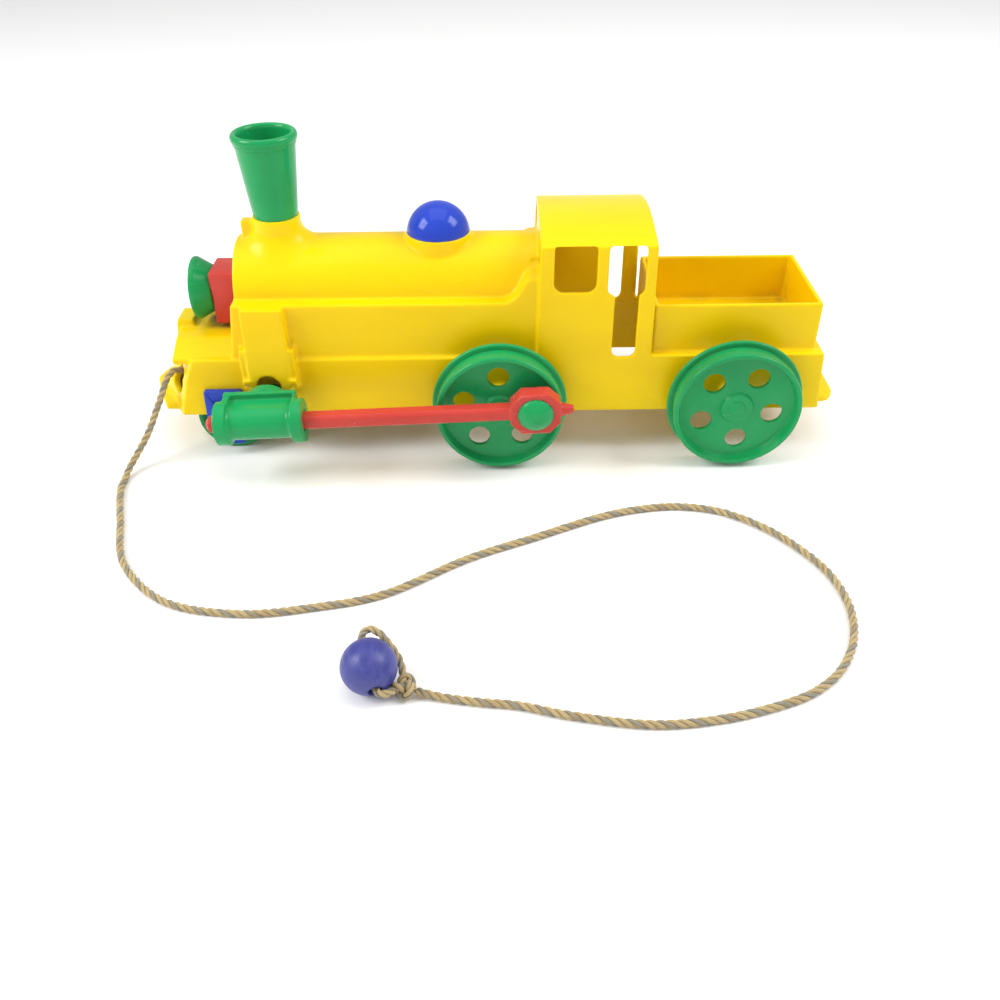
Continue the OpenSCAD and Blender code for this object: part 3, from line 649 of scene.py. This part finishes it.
# %% Plastic finishes
yellow_plastic = plastic(
    "yellow_plastic", pigment=(0.90, 0.63, 0.001, 1), deep=(0.85, 0.565, 0.001, 1),
    worn=(0.95, 0.76, 0.10, 1), gloss=0.27, edge=0.25, scratch=0.25, dust=0.9, glow=0.12, shine=0.22)
green_plastic = plastic(
    "green_plastic", pigment=(0.010, 0.33, 0.095, 1), deep=(0.008, 0.27, 0.078, 1),
    worn=(0.14, 0.52, 0.30, 1), gloss=0.20, edge=0.5, scratch=0.5, dust=0.35)
red_plastic = plastic(
    "red_plastic", pigment=(0.58, 0.055, 0.040, 1), deep=(0.52, 0.045, 0.033, 1),
    worn=(0.74, 0.36, 0.34, 1), gloss=0.27, edge=0.6, scratch=1.0, dust=0.3)
blue_plastic = plastic(
    "blue_plastic", pigment=(0.022, 0.060, 0.50, 1), deep=(0.018, 0.050, 0.43, 1),
    worn=(0.24, 0.28, 0.66, 1), gloss=0.12, edge=0.4, scratch=0.4, dust=0.3)
print("four plastics ready")

# %% [markdown]
# ## Steel
#
# The axles and clips are drawn steel wire: the die leaves fine lines along the wire, and old wire has brown
# stains. A noise stretched along the axles' direction gives the lines, both in roughness and in bump.

# %% Steel
CLEAN_STEEL = (0.56, 0.56, 0.58, 1)
STAINED_STEEL = (0.30, 0.24, 0.19, 1)
WIRE_STRETCH = (2600, 40, 2600)
STAIN_SCALE = 160


def drawn_steel():
    made, tree, shader = material("drawn_steel")
    place = own_place(tree)
    lines = noise_of(tree, stretched(tree, place, WIRE_STRETCH), 1.0, 3)
    stain = span(tree, noise_of(tree, place, STAIN_SCALE, 4), 0.55, 0.75)
    colour = mix_colour(tree, stain, CLEAN_STEEL, STAINED_STEEL)
    bump = add(tree, "ShaderNodeBump", Height=lines, Strength=0.25, Distance=0.0002)
    finish_surface(tree, shader, colour, span(tree, lines, 0.2, 0.8, 0.25, 0.45), bump)
    shader.inputs["Metallic"].default_value = 1.0
    return made


steel = drawn_steel()
print("steel:", len(steel.node_tree.nodes), "nodes")

# %% [markdown]
# ## Painted wood
#
# The ball is turned wood under thin blue paint, so the grain still shows as faint streaks and clouds, and
# the paint is rubbed through at the edge of the hole. The grain is a noise stretched one way and a little
# tilted.

# %% Painted wood
PAINT_DARK = (0.030, 0.036, 0.23, 1)
PAINT_LIGHT = (0.046, 0.054, 0.28, 1)
PAINT_CLOUD = (0.085, 0.088, 0.28, 1)
BARE_WOOD = (0.25, 0.18, 0.13, 1)
GRAIN_STRETCH = (420, 60, 420)
GRAIN_TILT = (0.3, 0.1, 0.4)
CLOUD_SCALE = 75


def painted_wood():
    made, tree, shader = material("painted_ball_wood")
    skin = use(tree, moulded_skin, Peel=1.5, Waves=1.6)
    wear = use(tree, handling_wear, Edge_amount=1.0, Scratch_amount=0.6)
    place = own_place(tree)
    grain_run = stretched(tree, place, GRAIN_STRETCH, GRAIN_TILT)
    grain = span(tree, noise_of(tree, grain_run, 1.0, 4, 0.6), 0.35, 0.7)
    cloud = span(tree, noise_of(tree, place, CLOUD_SCALE, 3), 0.4, 0.66)
    colour = mix_colour(tree, grain, PAINT_DARK, PAINT_LIGHT)
    colour = mix_colour(tree, math_node(tree, "MULTIPLY", cloud, 0.35), colour, PAINT_CLOUD)
    colour = mix_colour(tree, wear["Edge"], colour, BARE_WOOD)
    height = math_node(tree, "ADD", skin["Height"], math_node(tree, "MULTIPLY", grain, 0.5))
    bump = add(tree, "ShaderNodeBump", Height=height, Strength=0.3, Distance=0.0005)
    streaks = span(tree, grain, 0.0, 1.0, 0.36, 0.44)
    rough = math_node(tree, "ADD", streaks, math_node(tree, "MULTIPLY", cloud, 0.08))
    finish_surface(tree, shader, colour, rough, bump)
    return made


ball_paint = painted_wood()
print("painted wood:", len(ball_paint.node_tree.nodes), "nodes")

# %% [markdown]
# ## Cord fibre
#
# The strands keep their own colours, straw and grey, with fibres that run along each strand. The rope
# builder left each point's strand and place on it in the attribute strand_place, and the noise for the
# fibres is read there, not in space. The grooves between the strands are painted darker: this is painted
# shade, where the strands shade each other.

# %% Cord fibre
STRAW_DARK, STRAW_LIGHT = (0.36, 0.26, 0.11, 1), (0.64, 0.50, 0.25, 1)
GREY_DARK, GREY_LIGHT = (0.17, 0.155, 0.11, 1), (0.38, 0.36, 0.27, 1)
HANDLED = (0.38, 0.25, 0.11, 1)
# the colour of the painted shade in the grooves between the strands
GROOVE_PAINTED_SHADE = (0.10, 0.07, 0.03, 1)
FIBRE_APART, FIBRE_ACROSS, FIBRE_ALONG = 5.0, 7.0, 260.0
TONE_SCALE = 90


def cord_fibre():
    made, tree, shader = material("twisted_cord_fibre")
    strand_place = add(tree, "ShaderNodeAttribute", {"attribute_name": "strand_place"}).outputs["Vector"]
    strand, side, run = add(tree, "ShaderNodeSeparateXYZ", i0=strand_place).outputs
    grey = span(tree, strand, 0.5, 0.4)
    fibre_place = add(tree, "ShaderNodeCombineXYZ", i0=math_node(tree, "MULTIPLY", strand, FIBRE_APART),
                      i1=math_node(tree, "MULTIPLY", side, FIBRE_ACROSS),
                      i2=math_node(tree, "MULTIPLY", run, FIBRE_ALONG)).outputs[0]
    fibres = noise_of(tree, fibre_place, 1.0, 4, 0.65)
    tone = noise_of(tree, own_place(tree), TONE_SCALE, 3)
    straw = mix_colour(tree, span(tree, fibres, 0.3, 0.7), STRAW_DARK, STRAW_LIGHT)
    ash = mix_colour(tree, span(tree, fibres, 0.3, 0.7), GREY_DARK, GREY_LIGHT)
    colour = mix_colour(tree, grey, straw, ash)
    colour = mix_colour(tree, span(tree, tone, 0.4, 0.75, 0.0, 0.5), colour, HANDLED)
    # painted shade: the grooves between the strands are darkened in the colour itself
    groove = span(tree, math_node(tree, "ABSOLUTE", side), 0.62, 1.0, 0.0, 0.75)
    colour = mix_colour(tree, groove, colour, GROOVE_PAINTED_SHADE)
    bump = add(tree, "ShaderNodeBump", Height=fibres, Strength=0.7, Distance=0.0005)
    finish_surface(tree, shader, colour, span(tree, fibres, 0.2, 0.8, 0.7, 0.9), bump)
    shader.inputs["Sheen Weight"].default_value = 0.25
    return made


fibre = cord_fibre()
print("cord fibre:", len(fibre.node_tree.nodes), "nodes")

# %% [markdown]
# ## Giving each piece its finish
#
# The record names a material slot for every CAD piece, and each slot has one finish here. The rope pieces,
# which only this script has, all take the cord's finish.

# %% Assign finishes
FINISH = {
    "yellow_plastic": yellow_plastic, "green_plastic": green_plastic, "red_plastic": red_plastic,
    "blue_plastic": blue_plastic, "axle_steel": steel, "ball_wood": ball_paint, "cord_fibre": fibre,
}


def dress(piece, finish):
    piece.data.materials.clear()
    piece.data.materials.append(finish)


for row in frame["record"]["subparts"]:
    dress(nodes[row["node"]], FINISH[row["material_slot"]])
rope_pieces = (pull_rope, end_knot, nose_knot, back_loop, front_loop)
for piece in rope_pieces:
    dress(piece, fibre)
print("dressed", len(nodes), "CAD pieces and", len(rope_pieces), "rope pieces")

# %% [markdown]
# ## The floor
#
# The toy stands on white paper. Paper is matt and almost even, so its finish is a very faint noise between
# two whites with hardly any shine. The floor is part of the studio and not of the toy.

# %% Floor
PAPER_DARK, PAPER_LIGHT = (0.95, 0.95, 0.95, 1), (0.965, 0.965, 0.96, 1)
FLOOR_HALF = 4.0
FLOOR_CELLS = 8


def plain_paper():
    made, tree, shader = material("studio_paper")
    tone = mix_colour(tree, noise_of(tree, own_place(tree), 40, 3), PAPER_DARK, PAPER_LIGHT)
    tree.links.new(tone, shader.inputs["Base Color"])
    shader.inputs["Roughness"].default_value = 0.9
    shader.inputs["Specular IOR Level"].default_value = 0.1
    return made


def studio_floor():
    mesh = bpy.data.meshes.new("studio_floor")
    bm = bmesh.new()
    bmesh.ops.create_grid(bm, x_segments=FLOOR_CELLS, y_segments=FLOOR_CELLS, size=FLOOR_HALF)
    bm.to_mesh(mesh)
    bm.free()
    floor = bpy.data.objects.new("studio_floor", mesh)
    bpy.context.scene.collection.objects.link(floor)
    dress(floor, plain_paper())


studio_floor()
print("white floor,", 2 * FLOOR_HALF, "m wide")

# %% [markdown]
# ## The light
#
# Two softboxes stand on the left and the right, a little to the front, and make the two square highlights
# on every ball and edge. A larger, weaker one hangs overhead. A bright white surround fills the shadows, so
# that only a soft shadow stays under the body.

# %% Lights
LIT_POINT = Vector((0, -0.03, 0.05))     # what the softboxes are turned to
SOFTBOXES = {                            # place, side in metres, power in watts
    "left_softbox": ((-1.15, -0.35, 1.0), 0.72, 15),
    "right_softbox": ((1.12, -0.12, 1.12), 0.72, 13),
    "overhead_softbox": ((0.0, 0.1, 1.9), 1.6, 9),
}
SURROUND_STRENGTH = 0.6


def softbox(name, place, side, power):
    data = bpy.data.lights.new(name, "AREA")
    data.shape = "RECTANGLE"
    data.size, data.size_y = side, side
    data.energy = power
    lamp = bpy.data.objects.new(name, data)
    bpy.context.scene.collection.objects.link(lamp)
    lamp.location = place
    lamp.rotation_mode = "QUATERNION"
    lamp.rotation_quaternion = (LIT_POINT - Vector(place)).to_track_quat("-Z", "Y")


for name, values in SOFTBOXES.items():
    softbox(name, *values)

world = bpy.data.worlds.new("white_surround")
world.use_nodes = True
surround = world.node_tree.nodes["Background"]
surround.inputs["Color"].default_value = (1, 1, 1, 1)
surround.inputs["Strength"].default_value = SURROUND_STRENGTH
bpy.context.scene.world = world
bpy.context.scene.view_settings.view_transform = "Standard"
bpy.context.scene.view_settings.look = "None"
print(len(SOFTBOXES), "softboxes and a white surround")
